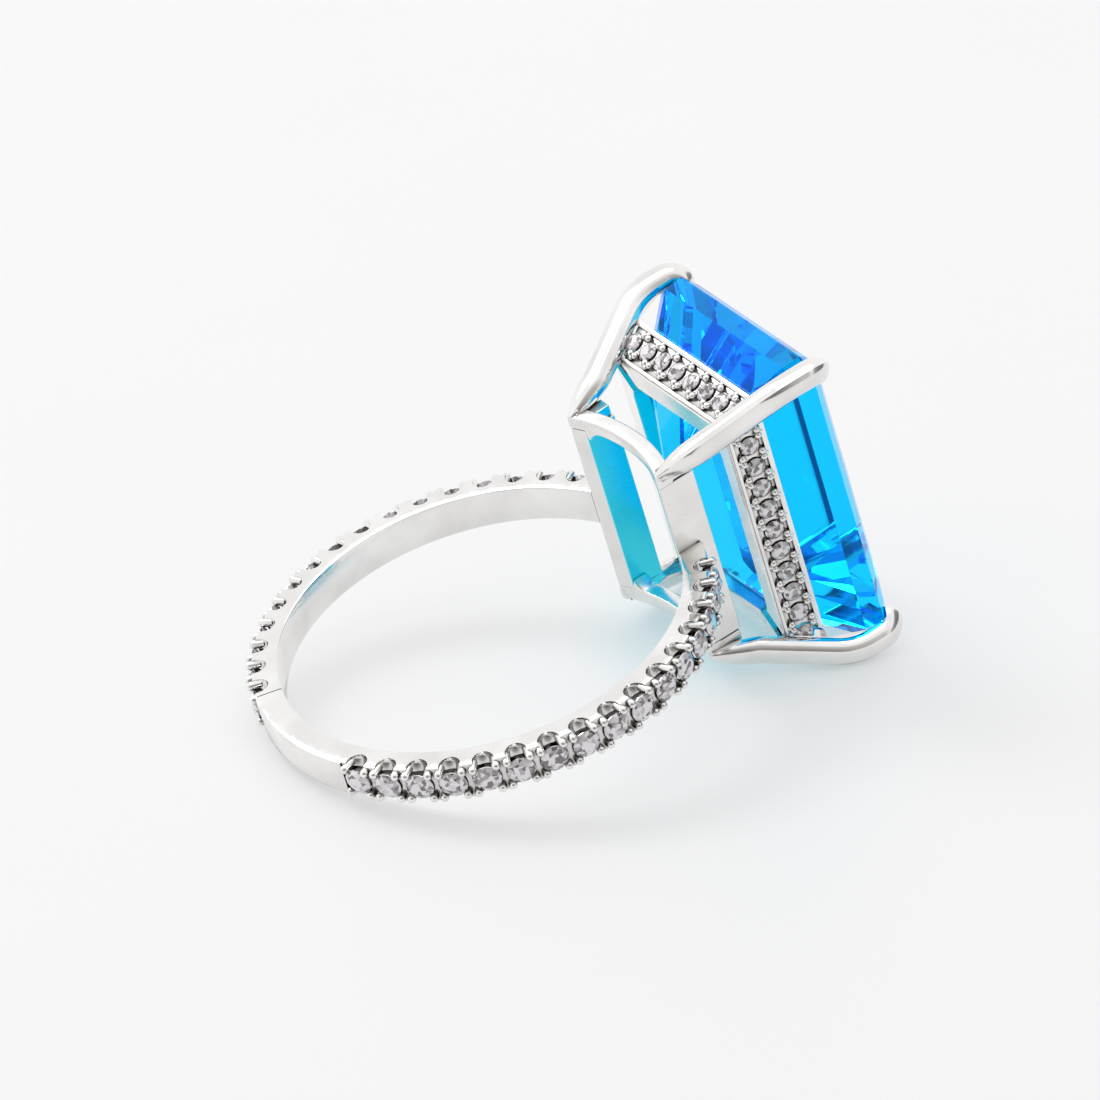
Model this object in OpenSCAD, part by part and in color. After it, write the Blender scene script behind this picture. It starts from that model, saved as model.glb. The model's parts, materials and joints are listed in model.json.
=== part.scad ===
// Cocktail ring: a big step-cut blue stone in a four-claw gallery setting,
// with small round stones along the gallery strips and the shank.
//
// Everything is drawn first in the setting's own axes: the origin at the
// centre of the finger bore, X out through the middle of the stone, Z along
// the bore. The whole ring is then tilted about Y, so that it lies on a flat
// surface as it does when it is put down: on the back edge of the shank and
// on the two lower claws. Upper means +Z, front means -Y.

/* [Finger size] */
// Diameter of the finger bore
bore_d = 17.3; // [16.5:0.1:18.5]

/* [Shank] */
// Width of the shank along the finger
shank_w = 1.7; // [1.5:0.05:2.2]
// Wall of the stone-set part of the shank
shank_t = 1.35; // [1.25:0.05:1.8]
// Wall of the plain part at the back of the shank
plain_t = 1.2; // [1:0.05:1.25]
// Number of stones on each side of the shank
shank_stones = 16; // [10:1:16]
// Angle from the middle of the head to the first shank stone
first_angle = 30.5; // [29:0.5:33]
// Angle between neighbouring shank stones
stone_step = 8.37; // [8.2:0.01:8.6]
// Diameter of one shank stone
shank_stone_d = 1.2; // [1.1:0.02:1.24]

/* [Base rail] */
// Width of the base rail, across the finger
base_w = 6.74; // [6.4:0.02:7.2]
// Length of the base rail, along the finger
base_l = 9.72; // [9.4:0.02:10]
// Height of the base rail's side cheeks above the bore
cheek_h = 1.08; // [0.9:0.02:1.2]
// Wall of the finger arches that close the ends of the base rail
arch_t = 0.7; // [0.6:0.05:0.9]
// Width of the base rail's window
window_w = 5.2; // [4.8:0.1:5.4]
// Length of the base rail's window
window_l = 8.4; // [8:0.1:8.6]

/* [Gallery] */
// Height of the seat rail above the bore
seat_h = 2.5; // [2.4:0.05:2.6]
// Thickness of the seat rail
seat_t = 0.6; // [0.4:0.05:0.8]
// Rise of the gallery strips
strip_rise = 1.6; // [1.5:0.05:1.7]
// Thickness of a gallery strip
strip_t = 0.42; // [0.36:0.02:0.44]
// Diameter of one gallery stone
gallery_stone_d = 0.95; // [0.85:0.01:0.98]
// Distance between neighbouring gallery stones
gallery_pitch = 1.1; // [1.05:0.01:1.12]
// Number of gallery stones on each long side
long_stones = 11; // [7:2:11]
// Number of gallery stones on each short side
short_stones = 8; // [4:2:8]

/* [Centre stone] */
// Width of the centre stone
gem_w = 10.2; // [10:0.05:10.3]
// Length of the centre stone
gem_l = 14.3; // [14.1:0.05:14.4]
// Cut of the centre stone's corners
gem_corner = 0.65; // [0.6:0.05:0.8]
// Height of the crown, from the girdle to the table
crown_h = 0.85; // [0.7:0.05:0.9]
// Height of the steep step under the girdle
girdle_h = 0.85; // [0.7:0.05:0.9]
// Depth of the pavilion under that step
pavilion_h = 4.5; // [4:0.1:4.6]

/* [Claws] */
// Thickness of a claw
claw_d = 1.15; // [1:0.05:1.2]
// Angle at which the claws flare from the base rail
claw_flare = 32.5; // [31.5:0.5:33.5]
// Thickness of the plate behind each claw
web_t = 0.6; // [0.5:0.05:0.7]

/* [Hidden] */
$fn = 48;
fit = 0.02;
far = 20;
metal = "#d9d9db";
clear = "#eef1f4";
blue = "#0a9be8";

// Shank
bore_r = bore_d / 2;
shank_r = bore_r + shank_t;
plain_r = bore_r + plain_t;
last_angle = first_angle + (shank_stones - 1) * stone_step;
plain_angle = last_angle + stone_step / 2;
join_angle = asin(base_w / 2 / bore_r) - 3;
seat_hole_h = 0.8;
scallop_d = 0.95;
scallop_h = 0.7;
stone_sink = 0.12;
bead_r = 0.28;
bead_z = shank_w / 2 - bead_r - 0.04;

// Base rail
base_y = base_w / 2;
base_z = base_l / 2;
cheek_x = bore_r + cheek_h;
arch_r = bore_r + arch_t;

// Seat rail, whose rounded window takes the pavilion
seat_x = bore_r + seat_h;
seat_over = 0.38;
seat_y = base_y + seat_over;
seat_z = base_z + seat_over;
seat_bar_y = 0.45;
seat_bar_z = 0.6;
seat_corner_r = 0.8;

// Gallery strips, which stand round the seat rail and lean out
strip_lift = 0.1;
strip_x = seat_x + strip_lift;
strip_y = seat_y + strip_t + fit;
strip_z = seat_z + strip_t + fit;
long_lean = 10.5;
short_lean = 25.5;
rim_w = 0.13;
rim_h = 0.05;
gallery_stone_sink = 0.06;
strip_bead_r = 0.17;
strip_bead_gap = 0.52;
mitre = web_t / 2 * sqrt(2) + fit;

// Centre stone: heights of its steps, and how far each one stands in
head_h = 7.5;
table_x = bore_r + head_h;
girdle_x = table_x - crown_h;
step_x = girdle_x - girdle_h;
bearing_share = 0.52;
bearing_x = step_x - pavilion_h * bearing_share;
keel_x = step_x - pavilion_h;
crown_in = 1.1;
step_in = 0.06;
bearing_in = 1.75;
bearing_end_in = 1.9;
keel_y = 0.02;
keel_z = 1.5;
corner_taper = 0.15;

// Claws, each drawn in the plane that bisects a corner of the base rail:
// X as before, Y out from the corner
claw_r = claw_d / 2;
foot_r = 0.22;
shin_rise = 1.8;
claw_over = 0.52;
gem_reach = ((gem_w + gem_l) / 2 - gem_corner - base_y - base_z) / sqrt(2);
claw_reach = gem_reach + claw_over;
foot = [sqrt(bore_r * bore_r - base_y * base_y) + claw_r * sin(claw_flare) - 0.1,
    -claw_r * cos(claw_flare)];
shin = [foot[0] + shin_rise, foot[1] + shin_rise * tan(claw_flare)];
bend_r = 3;
hook_r = 0.8;
hook_turn = 65;
hook_h = 6.23;
hook_x = bore_r + hook_h;
bend_y = claw_reach - bend_r * (1 - cos(claw_flare));
bend_x = foot[0] + (bend_y - foot[1]) / tan(claw_flare);
// The bar's middle line, with its radius at each point
claw_path = [
    [foot[0], foot[1] + claw_r - foot_r, foot_r],
    [shin[0], shin[1], claw_r],
    for (turn = [claw_flare, claw_flare / 2, 0])
        [bend_x + bend_r * (sin(claw_flare) - sin(turn)),
            claw_reach - bend_r * (1 - cos(turn)), claw_r],
    for (turn = [0, hook_turn / 2, hook_turn])
        [hook_x + hook_r * sin(turn), claw_reach - hook_r * (1 - cos(turn)), claw_r]];

// Resting tilt: the back of the shank and the lower claws touch one plane
claw_low = base_z + claw_reach / sqrt(2) + claw_r;
tilt = atan((claw_low - shank_w / 2) / (hook_x + plain_r));

module tilted() { rotate([0, -tilt, 0]) children(); }

// ---- Shank ----------------------------------------------------------------

// A block between two corners, each given as [x, y, z]
module block(low, high) { translate(low) cube(high - low); }

// A sector of a ring about Z, centred on the angle mid
module ring_sector(outer, mid, sweep) {
    rotate([0, 0, mid - sweep / 2])
        rotate_extrude(angle = sweep, $fn = 180)
            translate([bore_r, -shank_w / 2]) square([outer - bore_r, shank_w]);
}

// Angle of stone number i on the side s, where s is 1 for back, -1 for front
function stone_angle(s, i) = s * (first_angle + i * stone_step);

// The hole under a stone, and the half-round cuts on both sides of it
module stone_seat(angle) {
    rotate([0, 0, angle]) translate([shank_r, 0, 0]) rotate([0, 90, 0]) {
        cylinder(d = shank_stone_d + 2 * fit, h = 2 * seat_hole_h, center = true);
        for (edge = [-1, 1])
            translate([edge * shank_w / 2, 0, 0])
                cylinder(d = scallop_d, h = 2 * scallop_h, center = true);
    }
}

// Two beads on the wall between two stones
module bead_pair(angle) {
    rotate([0, 0, angle])
        for (edge = [-1, 1])
            translate([shank_r - bead_r / 2, 0, edge * bead_z]) sphere(r = bead_r);
}

module shank() {
    color(metal) tilted() {
        difference() {
            union() {
                ring_sector(plain_r, 180, 360 - 2 * join_angle);
                for (s = [-1, 1])
                    ring_sector(shank_r, s * (plain_angle + join_angle) / 2,
                        plain_angle - join_angle);
            }
            for (s = [-1, 1], i = [0 : shank_stones - 1]) stone_seat(stone_angle(s, i));
            block([0, -base_y, -shank_w], [far, base_y, shank_w]);
        }
        for (s = [-1, 1], i = [0 : shank_stones - 2]) bead_pair(stone_angle(s, i + 0.5));
    }
}

// A round brilliant with its girdle at the origin and its table towards +Z.
// Its proportions are shares of its diameter d
module round_stone(d) {
    r = d / 2;
    crown = 0.16 * d;
    girdle = 0.04 * d;
    pavilion = 0.32 * d;
    table_r = 0.58 * r;
    culet_r = 0.1 * r;
    cylinder(r1 = r, r2 = table_r, h = crown);
    translate([0, 0, -girdle]) cylinder(r = r, h = girdle);
    translate([0, 0, -girdle - pavilion]) cylinder(r1 = culet_r, r2 = r, h = pavilion);
}

module shank_stone_row(s) {
    color(clear) tilted()
        for (i = [0 : shank_stones - 1])
            rotate([0, 0, stone_angle(s, i)])
                translate([shank_r - stone_sink, 0, 0]) rotate([0, 90, 0])
                    round_stone(shank_stone_d);
}

module shank_stones_front() shank_stone_row(-1);
module shank_stones_back() shank_stone_row(1);

// ---- Base rail ------------------------------------------------------------

// A side cheek, which closes the shank's gap; its inner face is the bore
module cheek(s) {
    color(metal) tilted()
        difference() {
            mirror([0, s < 0 ? 1 : 0, 0])
                block([0, window_w / 2, -window_l / 2], [cheek_x, base_y, window_l / 2]);
            cylinder(r = bore_r, h = far, center = true, $fn = 180);
        }
}

// An arch over the finger, which closes one end of the base rail
module finger_arch(s) {
    color(metal) tilted()
        mirror([0, 0, s < 0 ? 1 : 0])
            intersection() {
                difference() {
                    cylinder(r = arch_r, h = far, $fn = 180);
                    translate([0, 0, -1]) cylinder(r = bore_r, h = far + 2, $fn = 180);
                }
                block([0, -base_y, window_l / 2], [far, base_y, base_z]);
            }
}

module cheek_front() cheek(-1);
module cheek_back() cheek(1);
module finger_arch_upper() finger_arch(1);
module finger_arch_lower() finger_arch(-1);

// ---- Gallery --------------------------------------------------------------

// Extrude a flat outline, drawn in Y and Z, along X from x0
module along_x(x0, h) { translate([x0, 0, 0]) rotate([90, 0, 90]) linear_extrude(h) children(); }

// The wedge of space that belongs to the back side, between two claws. The
// half sizes w and l are those of the base rail along Y and Z
module wedge(w, l) {
    reach = 4;
    inset = 3;
    along_x(0, far)
        polygon([
            [w + reach, -(l + reach - mitre)], [w + reach, l + reach - mitre],
            [w - inset, l - inset - mitre], [w - inset, -(l - inset - mitre)]]);
}

// Turn what is drawn for the back side to one of the four sides
module on_side(side) {
    if (side == "back") children();
    if (side == "front") mirror([0, 1, 0]) children();
    if (side == "upper") rotate([90, 0, 0]) children();
    if (side == "lower") mirror([0, 0, 1]) rotate([90, 0, 0]) children();
}

function is_long(side) = side == "back" || side == "front";
// Half size of the base rail across the side, and along it
function half_across(side) = is_long(side) ? base_y : base_z;
function half_along(side) = is_long(side) ? base_z : base_y;

// The rounded window of the seat rail, as seen from the finger
module seat_window(side) {
    w = half_across(side) + seat_over - (is_long(side) ? seat_bar_y : seat_bar_z);
    l = half_along(side) + seat_over - (is_long(side) ? seat_bar_z : seat_bar_y);
    r = seat_corner_r;
    union() {
        square([2 * w, 2 * (l - r)], center = true);
        square([2 * (w - r), 2 * l], center = true);
        for (y = [-1, 1], z = [-1, 1]) translate([y * (w - r), z * (l - r)]) circle(r);
    }
}

module seat_rail(side) {
    w = half_across(side);
    l = half_along(side);
    color(metal) tilted()
        on_side(side)
            intersection() {
                along_x(seat_x, seat_t)
                    difference() {
                        translate([0, -(l + seat_over)])
                            square([w + seat_over, 2 * (l + seat_over)]);
                        seat_window(side);
                    }
                wedge(w, l);
            }
}

module seat_rail_front() seat_rail("front");
module seat_rail_back() seat_rail("back");
module seat_rail_upper() seat_rail("upper");
module seat_rail_lower() seat_rail("lower");

function lean(side) = is_long(side) ? long_lean : short_lean;
function stones_on(side) = is_long(side) ? long_stones : short_stones;
function strip_height(side) = strip_rise / cos(lean(side));
// Place along the side of stone number i, counted from its middle
function stone_place(side, i) = (i - (stones_on(side) - 1) / 2) * gallery_pitch;

// A strip's own axes: X up its outer face, Y out of it, Z along it
module on_strip(side) {
    on_side(side)
        translate([strip_x, is_long(side) ? strip_y : strip_z, 0])
            rotate([0, 0, lean(side)]) children();
}

// Place children at the middle height of the strip, with +Z out of its face
module at_stone(side, i) {
    translate([strip_height(side) / 2, 0, stone_place(side, i)]) rotate([-90, 0, 0]) children();
}

module gallery_strip(side) {
    h = strip_height(side);
    count = stones_on(side);
    color(metal) tilted()
        intersection() {
            on_strip(side) {
                difference() {
                    union() {
                        block([0, -strip_t, -far / 2], [h, 0, far / 2]);
                        block([0, -strip_t, -far / 2], [rim_w, rim_h, far / 2]);
                        block([h - rim_w, -strip_t, -far / 2], [h, rim_h, far / 2]);
                    }
                    for (i = [0 : count - 1])
                        at_stone(side, i)
                            cylinder(d = gallery_stone_d + 2 * fit, h = 2, center = true);
                }
                for (i = [0 : count - 2], across = [-1, 1])
                    translate([h / 2 + across * strip_bead_gap, 0, stone_place(side, i + 0.5)])
                        sphere(r = strip_bead_r);
            }
            on_side(side) wedge(half_across(side), half_along(side));
        }
}

module gallery_stone_row(side) {
    color(clear) tilted()
        on_strip(side)
            for (i = [0 : stones_on(side) - 1])
                at_stone(side, i)
                    translate([0, 0, -gallery_stone_sink]) round_stone(gallery_stone_d);
}

module gallery_strip_front() gallery_strip("front");
module gallery_strip_back() gallery_strip("back");
module gallery_strip_upper() gallery_strip("upper");
module gallery_strip_lower() gallery_strip("lower");
module gallery_stones_front() gallery_stone_row("front");
module gallery_stones_back() gallery_stone_row("back");
module gallery_stones_upper() gallery_stone_row("upper");
module gallery_stones_lower() gallery_stone_row("lower");

// ---- Claws ----------------------------------------------------------------

// The plate between the bar and the gallery, notched for the stone's edge
module claw_plate() {
    top = gem_reach + fit;
    linear_extrude(web_t, center = true)
        polygon([
            foot, [bend_x, bend_y], [hook_x, claw_reach],
            [girdle_x + 0.3, claw_reach], [girdle_x + 0.05, top], [step_x, top],
            [strip_x + strip_rise, gem_reach - 0.55], [seat_x + seat_t, 1.1],
            [seat_x, 0.75], [cheek_x - 0.35, 0]]);
}

// A claw with its origin at its corner of the base rail: a round bar through
// the points of claw_path, with the plate behind it
module claw_shape() {
    for (i = [0 : len(claw_path) - 2])
        hull()
            for (p = [claw_path[i], claw_path[i + 1]])
                translate([p[0], p[1], 0]) sphere(p[2], $fn = 20);
    claw_plate();
}

// The claw at the corner with the signs sy and sz, cleared round the stone
module claw(sy, sz) {
    color(metal) tilted()
        difference() {
            translate([0, sy * base_y, sz * base_z])
                rotate([sz > 0 ? 90 - 45 * sy : 270 + 45 * sy, 0, 0]) claw_shape();
            cylinder(r = bore_r, h = far, center = true, $fn = 180);
            claw_seat(sy, sz);
        }
}

// The flat seat that a claw makes against the corner of the crown
module claw_seat(sy, sz) {
    translate([0, sy * base_y, sz * base_z])
        rotate([sz > 0 ? 90 - 45 * sy : 270 + 45 * sy, 0, 0])
            linear_extrude(far, center = true)
                polygon([
                    [step_x - 0.3, 0], [step_x - 0.3, gem_reach + fit],
                    [girdle_x + fit, gem_reach + fit],
                    [table_x + fit, gem_reach + fit - crown_in * 1.3], [table_x + fit, 0]]);
}

module claw_upper_front() claw(-1, 1);
module claw_upper_back() claw(1, 1);
module claw_lower_front() claw(-1, -1);
module claw_lower_back() claw(1, -1);

// ---- Centre stone ---------------------------------------------------------

// A thin eight-sided slice of the stone at the height x, with half sizes w, l
module slice(x, w, l, corner) {
    along_x(x, 0.001)
        polygon([
            [w, l - corner], [w - corner, l], [corner - w, l], [-w, l - corner],
            [-w, corner - l], [corner - w, -l], [w - corner, -l], [w, corner - l]]);
}

// A slice that stands in from the girdle's outline by the distance inset at
// the sides, and end_inset at the ends
module inset_slice(x, inset, end_inset) {
    slice(x, gem_w / 2 - inset, gem_l / 2 - end_inset, gem_corner - inset * corner_taper);
}

module centre_stone() {
    color(blue) tilted() {
        hull() {
            inset_slice(table_x, crown_in, crown_in);
            inset_slice(girdle_x, 0, 0);
        }
        hull() {
            inset_slice(girdle_x, 0, 0);
            inset_slice(step_x, step_in, step_in);
        }
        hull() {
            inset_slice(step_x, step_in, step_in);
            inset_slice(bearing_x, bearing_in, bearing_end_in);
        }
        hull() {
            inset_slice(bearing_x, bearing_in, bearing_end_in);
            slice(keel_x, keel_y, keel_z, keel_y / 4);
        }
    }
}

shank();
shank_stones_front();
shank_stones_back();
cheek_front();
cheek_back();
finger_arch_upper();
finger_arch_lower();
seat_rail_front();
seat_rail_back();
seat_rail_upper();
seat_rail_lower();
gallery_strip_front();
gallery_strip_back();
gallery_strip_upper();
gallery_strip_lower();
gallery_stones_front();
gallery_stones_back();
gallery_stones_upper();
gallery_stones_lower();
claw_upper_front();
claw_upper_back();
claw_lower_front();
claw_lower_back();
centre_stone();
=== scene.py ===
import json
from math import asin, atan2, cos, pi, radians, sin, sqrt

import bmesh
import bpy
from bpy.props import FloatProperty, FloatVectorProperty, PointerProperty
from bpy.types import Operator, Panel, PropertyGroup
from mathutils import Matrix, Vector


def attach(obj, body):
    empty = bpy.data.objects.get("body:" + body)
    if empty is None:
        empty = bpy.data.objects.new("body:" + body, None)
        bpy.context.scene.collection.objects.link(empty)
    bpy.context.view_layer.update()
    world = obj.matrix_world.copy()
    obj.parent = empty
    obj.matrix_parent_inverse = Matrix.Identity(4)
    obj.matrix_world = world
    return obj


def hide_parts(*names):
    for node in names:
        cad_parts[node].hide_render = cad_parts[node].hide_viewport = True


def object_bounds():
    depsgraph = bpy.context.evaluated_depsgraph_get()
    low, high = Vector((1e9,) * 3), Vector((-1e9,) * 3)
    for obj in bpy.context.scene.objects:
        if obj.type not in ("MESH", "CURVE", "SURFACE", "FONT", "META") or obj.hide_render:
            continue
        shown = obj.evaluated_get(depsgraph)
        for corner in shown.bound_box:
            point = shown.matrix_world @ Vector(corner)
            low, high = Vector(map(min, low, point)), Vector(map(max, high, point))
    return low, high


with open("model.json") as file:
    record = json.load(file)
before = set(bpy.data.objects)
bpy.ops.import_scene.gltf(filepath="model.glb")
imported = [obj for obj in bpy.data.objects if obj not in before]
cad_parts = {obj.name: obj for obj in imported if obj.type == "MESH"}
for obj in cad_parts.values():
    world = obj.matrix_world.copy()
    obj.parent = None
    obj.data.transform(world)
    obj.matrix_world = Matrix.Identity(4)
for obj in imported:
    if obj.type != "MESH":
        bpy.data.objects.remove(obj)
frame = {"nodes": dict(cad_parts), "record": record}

# A cocktail ring: a big step-cut blue stone in a four-claw gallery setting.
#
# Each piece is drawn in millimetres in the setting's own axes: X out through
# the middle of the stone, Z along the finger bore, Y to the back. It is then
# tilted with the bore into the frame, where the ring lies on the floor.

bl_info = {
    "name": "Cocktail Ring",
    "version": (1, 0, 0),
    "blender": (4, 5, 0),
    "location": "View3D > Sidebar > Ring",
    "description": "Builds a cocktail ring and its studio round the CAD frame",
    "category": "Object",
}

CAD_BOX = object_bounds()
MM = 0.001
MOUNT = frame["record"]["mounts"][0]
BORE_R = MOUNT["dims"]["r_mm"]
TILT = atan2(-MOUNT["axis"][0], MOUNT["axis"][2])
TO_FRAME = Matrix.Rotation(-TILT, 4, "Y") @ Matrix.Scale(MM, 4)
TO_SETTING = TO_FRAME.inverted()


def setting_box(node):
    """Lowest and highest corners of a CAD node, in mm in the setting's axes."""
    points = [TO_SETTING @ v.co for v in frame["nodes"][node].data.vertices]
    return Vector(map(min, zip(*points))), Vector(map(max, zip(*points)))


def stone_middles(node):
    """The middle of each separate stone of a CAD node, in mm in the setting's axes."""
    solid = bmesh.new()
    solid.from_mesh(frame["nodes"][node].data)
    bmesh.ops.remove_doubles(solid, verts=solid.verts, dist=0.01 * MM)
    left = set(solid.verts)
    middles = []
    for seed in list(solid.verts):
        if seed not in left:
            continue
        left.discard(seed)
        stone, edge = [seed], [seed]
        while edge:
            vert = edge.pop()
            for link in vert.link_edges:
                other = link.other_vert(vert)
                if other in left:
                    left.discard(other)
                    stone.append(other)
                    edge.append(other)
        low = Vector(map(min, zip(*(TO_SETTING @ v.co for v in stone))))
        high = Vector(map(max, zip(*(TO_SETTING @ v.co for v in stone))))
        middles.append((low + high) / 2)
    solid.free()
    return middles


# Sizes that the pieces share, in mm and radians. The CAD nodes give the main ones
CHEEK_LOW, CHEEK_HIGH = setting_box("cheek_back")
WINDOW_Y, BASE_Y, CHEEK_X, WINDOW_Z = CHEEK_LOW.y, CHEEK_HIGH.y, CHEEK_HIGH.x, CHEEK_HIGH.z
BASE_Z = setting_box("finger_arch_upper")[1].z
ARCH_R = setting_box("finger_arch_upper")[1].x
SEAT_LOW, SEAT_HIGH = setting_box("seat_rail_back")
SEAT_OVER = SEAT_HIGH.y - BASE_Y
GEM_LOW, GEM_HIGH = setting_box("centre_stone")
SHANK_HALF = setting_box("shank_stones_back")[1].z + 0.25
# Radius at which the prongs' shift along the shank is measured
SET_R = 10.0
# Room that a claw takes from the end of a rail or a strip
MITRE = 0.444
# Smallest angle that stays sharp on a faceted stone
FACETED = 0.01
# The seat rail's bars and the round corners of its window
LONG_BAR, SHORT_BAR = 0.45, 0.6
SEAT_CORNER = 0.8
# The gallery strips: thickness, height, and their lift off the base of the seat rail
STRIP_T = 0.42
STRIP_RISE = 1.6
STRIP_LIFT = 0.1
LEANS = {"back": radians(10.5), "front": radians(10.5), "upper": radians(25.5), "lower": radians(25.5)}
SIDES = {
    "back": Matrix.Identity(4),
    "front": Matrix.Scale(-1, 4, (0, 1, 0)),
    "upper": Matrix.Rotation(pi / 2, 4, "X"),
    "lower": Matrix.Scale(-1, 4, (0, 0, 1)) @ Matrix.Rotation(pi / 2, 4, "X"),
}


# ---- Sizes and colours a user may change ------------------------------------

def length(name, description, mm):
    return FloatProperty(name=name, description=description, default=mm * MM, min=0, unit="LENGTH")


def colour(name, description, default):
    return FloatVectorProperty(name=name, description=description, default=default,
                               subtype="COLOR", size=3, min=0, max=1)


class RingMetalwork(PropertyGroup):
    """Small sizes of the metal parts"""
    prong_r: length("Prong radius", "Radius of the prongs that hold the shank's stones", 0.19)
    prong_top: length("Prong top", "Distance of the prongs' tops from the middle of the bore", 10.1)
    scallop_r: length("Scallop radius", "Radius of the U-shaped cuts beside each stone", 0.46)
    bead_r: length("Bead radius", "Radius of the beads on the gallery strips", 0.165)
    edge: length("Edge softness", "Width of the polished-over edges", 0.05)
    claw_w: length("Claw width", "Width of a claw across its plane", 1.2)


class RingColours(PropertyGroup):
    """Colours of the metal and the stones"""
    metal: colour("Metal", "Colour of the polished metal", (0.93, 0.92, 0.905))
    # Random cloudy tone of the metal, darkened further so that its darker patches are also a painted
    # reflection of the surroundings
    metal_tone_and_reflection: colour("Metal shade", "Colour of the metal where the polish is thinner",
                        (0.80, 0.785, 0.77))
    # Painted shade: the metal is darkened towards this colour in its recesses and corners, by ambient
    # occlusion
    recess: colour("Recess", "Colour of the metal in the recesses that polishing misses",
                   (0.13, 0.12, 0.11))
    # Painted light: walls that face the centre stone are tinted teal and glow faintly, standing in for
    # the light the stone throws on them
    lit_wall: colour("Lit wall", "Colour of the metal walls that face the centre stone",
                     (0.02, 0.36, 0.42))
    wall_light: colour("Light on the walls", "Colour of the light that the centre stone throws on them",
                       (0.0, 0.72, 0.95))
    gem: colour("Centre stone", "Surface tint of the centre stone", (0.40, 0.92, 1.0))
    gem_sheen: colour("Centre stone sheen", "Tint of the reflections on the centre stone",
                      (0.02, 0.70, 1.0))
    # Painted glow: the centre stone gives off a faint light of this colour, though it is no lamp
    gem_glow: colour("Centre stone glow", "Colour of the light that lingers inside the centre stone",
                     (0.0, 0.22, 0.75))
    gem_body: colour("Centre stone body", "Colour that deepens inside the centre stone",
                     (0.02, 0.90, 0.998))
    clear: colour("Small stones", "Colour of the small clear stones", (0.98, 0.96, 1.0))
    # Painted reflection: the dark tone of the small stones' painted facet flashes
    clear_dark: colour("Small stones, dark", "Colour of the small stones' dark flashes",
                       (0.17, 0.15, 0.15))


class RingStudio(PropertyGroup):
    """The camera and the floor"""
    azimuth: FloatProperty(name="Azimuth", description="Direction of the camera round the ring",
                           default=radians(-31.74659), subtype="ANGLE")
    elevation: FloatProperty(name="Elevation", description="Height of the camera above the floor",
                             default=radians(28.28129), subtype="ANGLE")
    roll: FloatProperty(name="Roll", description="Turn of the camera about its own axis",
                        default=radians(-1.771477), subtype="ANGLE")
    distance: length("Distance", "Distance of the camera from the point it looks at", 450)
    aim: FloatVectorProperty(name="Aim", description="Point that the camera looks at",
                             default=(0.00325191, -0.00012943, 0.00297565), subtype="TRANSLATION")
    lens: FloatProperty(name="Lens", description="Focal length of the camera in millimetres",
                        default=355.8628, subtype="DISTANCE_CAMERA")
    # Painted light: the colour of the stone's light, painted into the floor's glow under the head
    patch: colour("Stone's patch", "Colour that the stone throws on the floor", (0.66, 0.93, 1.0))
    floor: colour("Floor", "Colour of the floor", (0.29, 0.291, 0.294))


# ---- Shapes -------------------------------------------------------------------

def loft(mesh, rings):
    """Adds a closed shape through rings of points, all with the same count."""
    rows = [[mesh.verts.new(p) for p in ring] for ring in rings]
    count = len(rows[0])
    for near, far in zip(rows, rows[1:]):
        for i in range(count):
            j = (i + 1) % count
            mesh.faces.new((near[i], near[j], far[j], far[i]))
    mesh.faces.new(rows[0][::-1])
    mesh.faces.new(rows[-1])


def round_rectangle(u0, u1, v0, v1, r, steps=3):
    """Outline of a rectangle with rounded corners, as (u, v) points."""
    points = []
    corners = ((u1 - r, v1 - r), (u0 + r, v1 - r), (u0 + r, v0 + r), (u1 - r, v0 + r))
    for start, (u, v) in enumerate(corners):
        for i in range(steps + 1):
            turn = (start + i / steps) * pi / 2
            points.append((u + r * cos(turn), v + r * sin(turn)))
    return points


def turned(mesh, profile, place, segments):
    """Adds a shape turned about Z from (radius, height) points, then put in place."""
    loft(mesh, [
        [place @ Vector((r * cos(2 * pi * i / segments), r * sin(2 * pi * i / segments), h))
         for i in range(segments)]
        for r, h in profile])


def dome(r, base, top, steps=4):
    """Profile of a round-headed peg, as (radius, height) points."""
    shoulder = top - r
    return [(r, base)] + [
        (max(r * cos(pi / 2 * i / steps), 0.01 * r), shoulder + r * sin(pi / 2 * i / steps))
        for i in range(steps + 1)]


def radial(angle, r, z=0.0):
    """Places +Z outwards from the bore's axis, at an angle round it."""
    outwards = Matrix.Translation((r, 0, z)) @ Matrix.Rotation(pi / 2, 4, "Y")
    return Matrix.Rotation(angle, 4, "Z") @ outwards


def mesh_object(mesh, name):
    data = bpy.data.meshes.new(name)
    mesh.to_mesh(data)
    mesh.free()
    made = bpy.data.objects.new(name, data)
    bpy.context.scene.collection.objects.link(made)
    return made


def subtract(mesh, cutter):
    """The shape with the cutter taken away from it."""
    for shape in (mesh, cutter):
        bmesh.ops.recalc_face_normals(shape, faces=shape.faces)
    body, tool = mesh_object(mesh, "cut_body"), mesh_object(cutter, "cut_tool")
    step = body.modifiers.new("cut", "BOOLEAN")
    step.object, step.operation, step.solver = tool, "DIFFERENCE", "EXACT"
    bpy.context.view_layer.update()
    seen = body.evaluated_get(bpy.context.evaluated_depsgraph_get())
    result = bmesh.new()
    result.from_mesh(seen.to_mesh())
    seen.to_mesh_clear()
    for made in (body, tool):
        data = made.data
        bpy.data.objects.remove(made)
        bpy.data.meshes.remove(data)
    bmesh.ops.remove_doubles(result, verts=result.verts, dist=0.0005)
    bmesh.ops.dissolve_degenerate(result, edges=result.edges, dist=0.0005)
    return result


def join(mesh, other):
    """Adds another shape to the first."""
    data = bpy.data.meshes.new("joined")
    other.to_mesh(data)
    other.free()
    mesh.from_mesh(data)
    bpy.data.meshes.remove(data)


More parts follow.
